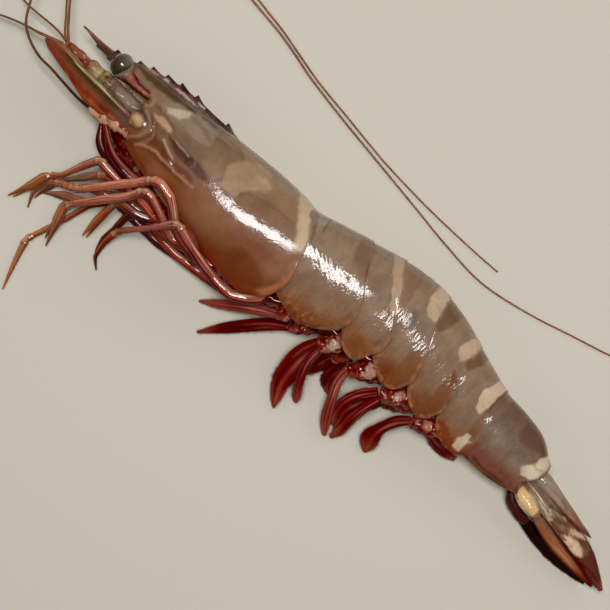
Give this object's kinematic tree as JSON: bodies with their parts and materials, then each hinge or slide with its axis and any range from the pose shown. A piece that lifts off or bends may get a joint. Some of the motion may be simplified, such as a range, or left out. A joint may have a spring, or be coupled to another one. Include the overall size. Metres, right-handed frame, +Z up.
{
  "type": "raw tiger prawn",
  "caption": "Whole raw prawn lying on its side, with a toothed rostrum, banded shell, walking legs, swimming legs, tail fan and long feelers swept back over it.",
  "frame": {"origin": "the middle of the flat spot of the right flank, on the surface the prawn lies on", "axes": "+Z up from that surface to the left flank, +X towards the tail, +Y towards the back, and the legs towards -Y"},
  "size_m": [0.3195, 0.1506, 0.0333],
  "materials": {
    "shell": "wet glossy shell, olive taupe with cream and dark bands",
    "scale": "wet translucent shell, red orange with a cream rib",
    "eye": "wet glossy dark grey green",
    "limb": "wet translucent pink red with tan tips",
    "swimmeret": "wet crimson with a pale base",
    "fin": "wet dark maroon with an orange band",
    "flesh": "wet cream",
    "feeler": "wet dark brown"
  },
  "bodies": {
    "root": {"carapace": "shell", "abdomen_1": "shell", "abdomen_2": "shell", "abdomen_3": "shell", "abdomen_4": "shell", "abdomen_5": "shell", "abdomen_6": "shell", "eye_left": "eye", "antennal_scale_left": "scale", "antennule_left": "scale", "antenna_base_left": "scale", "eye_right": "eye", "antennal_scale_right": "scale", "antennule_right": "scale", "antenna_base_right": "scale", "antenna_left": "feeler", "antenna_right": "feeler", "antennule_left_outer": "feeler", "antennule_left_inner": "feeler", "antennule_right_outer": "feeler", "antennule_right_inner": "feeler", "telson": "shell", "uropod_base_left": "flesh", "uropod_inner_left": "fin", "uropod_outer_left": "fin", "uropod_base_right": "flesh", "uropod_inner_right": "fin", "uropod_outer_right": "fin", "mouthparts": "limb", "maxilliped_left": "limb", "leg_left_1": "limb", "pleopod_left_1": "swimmeret", "leg_left_2": "limb", "pleopod_left_2": "swimmeret", "leg_left_3": "limb", "pleopod_left_3": "swimmeret", "leg_left_4": "limb", "pleopod_left_4": "swimmeret", "leg_left_5": "limb", "pleopod_left_5": "swimmeret", "maxilliped_right": "limb", "leg_right_1": "limb", "pleopod_right_1": "swimmeret", "leg_right_2": "limb", "pleopod_right_2": "swimmeret", "leg_right_3": "limb", "pleopod_right_3": "swimmeret", "leg_right_4": "limb", "pleopod_right_4": "swimmeret", "leg_right_5": "limb", "pleopod_right_5": "swimmeret"}
  },
  "joints": []
}
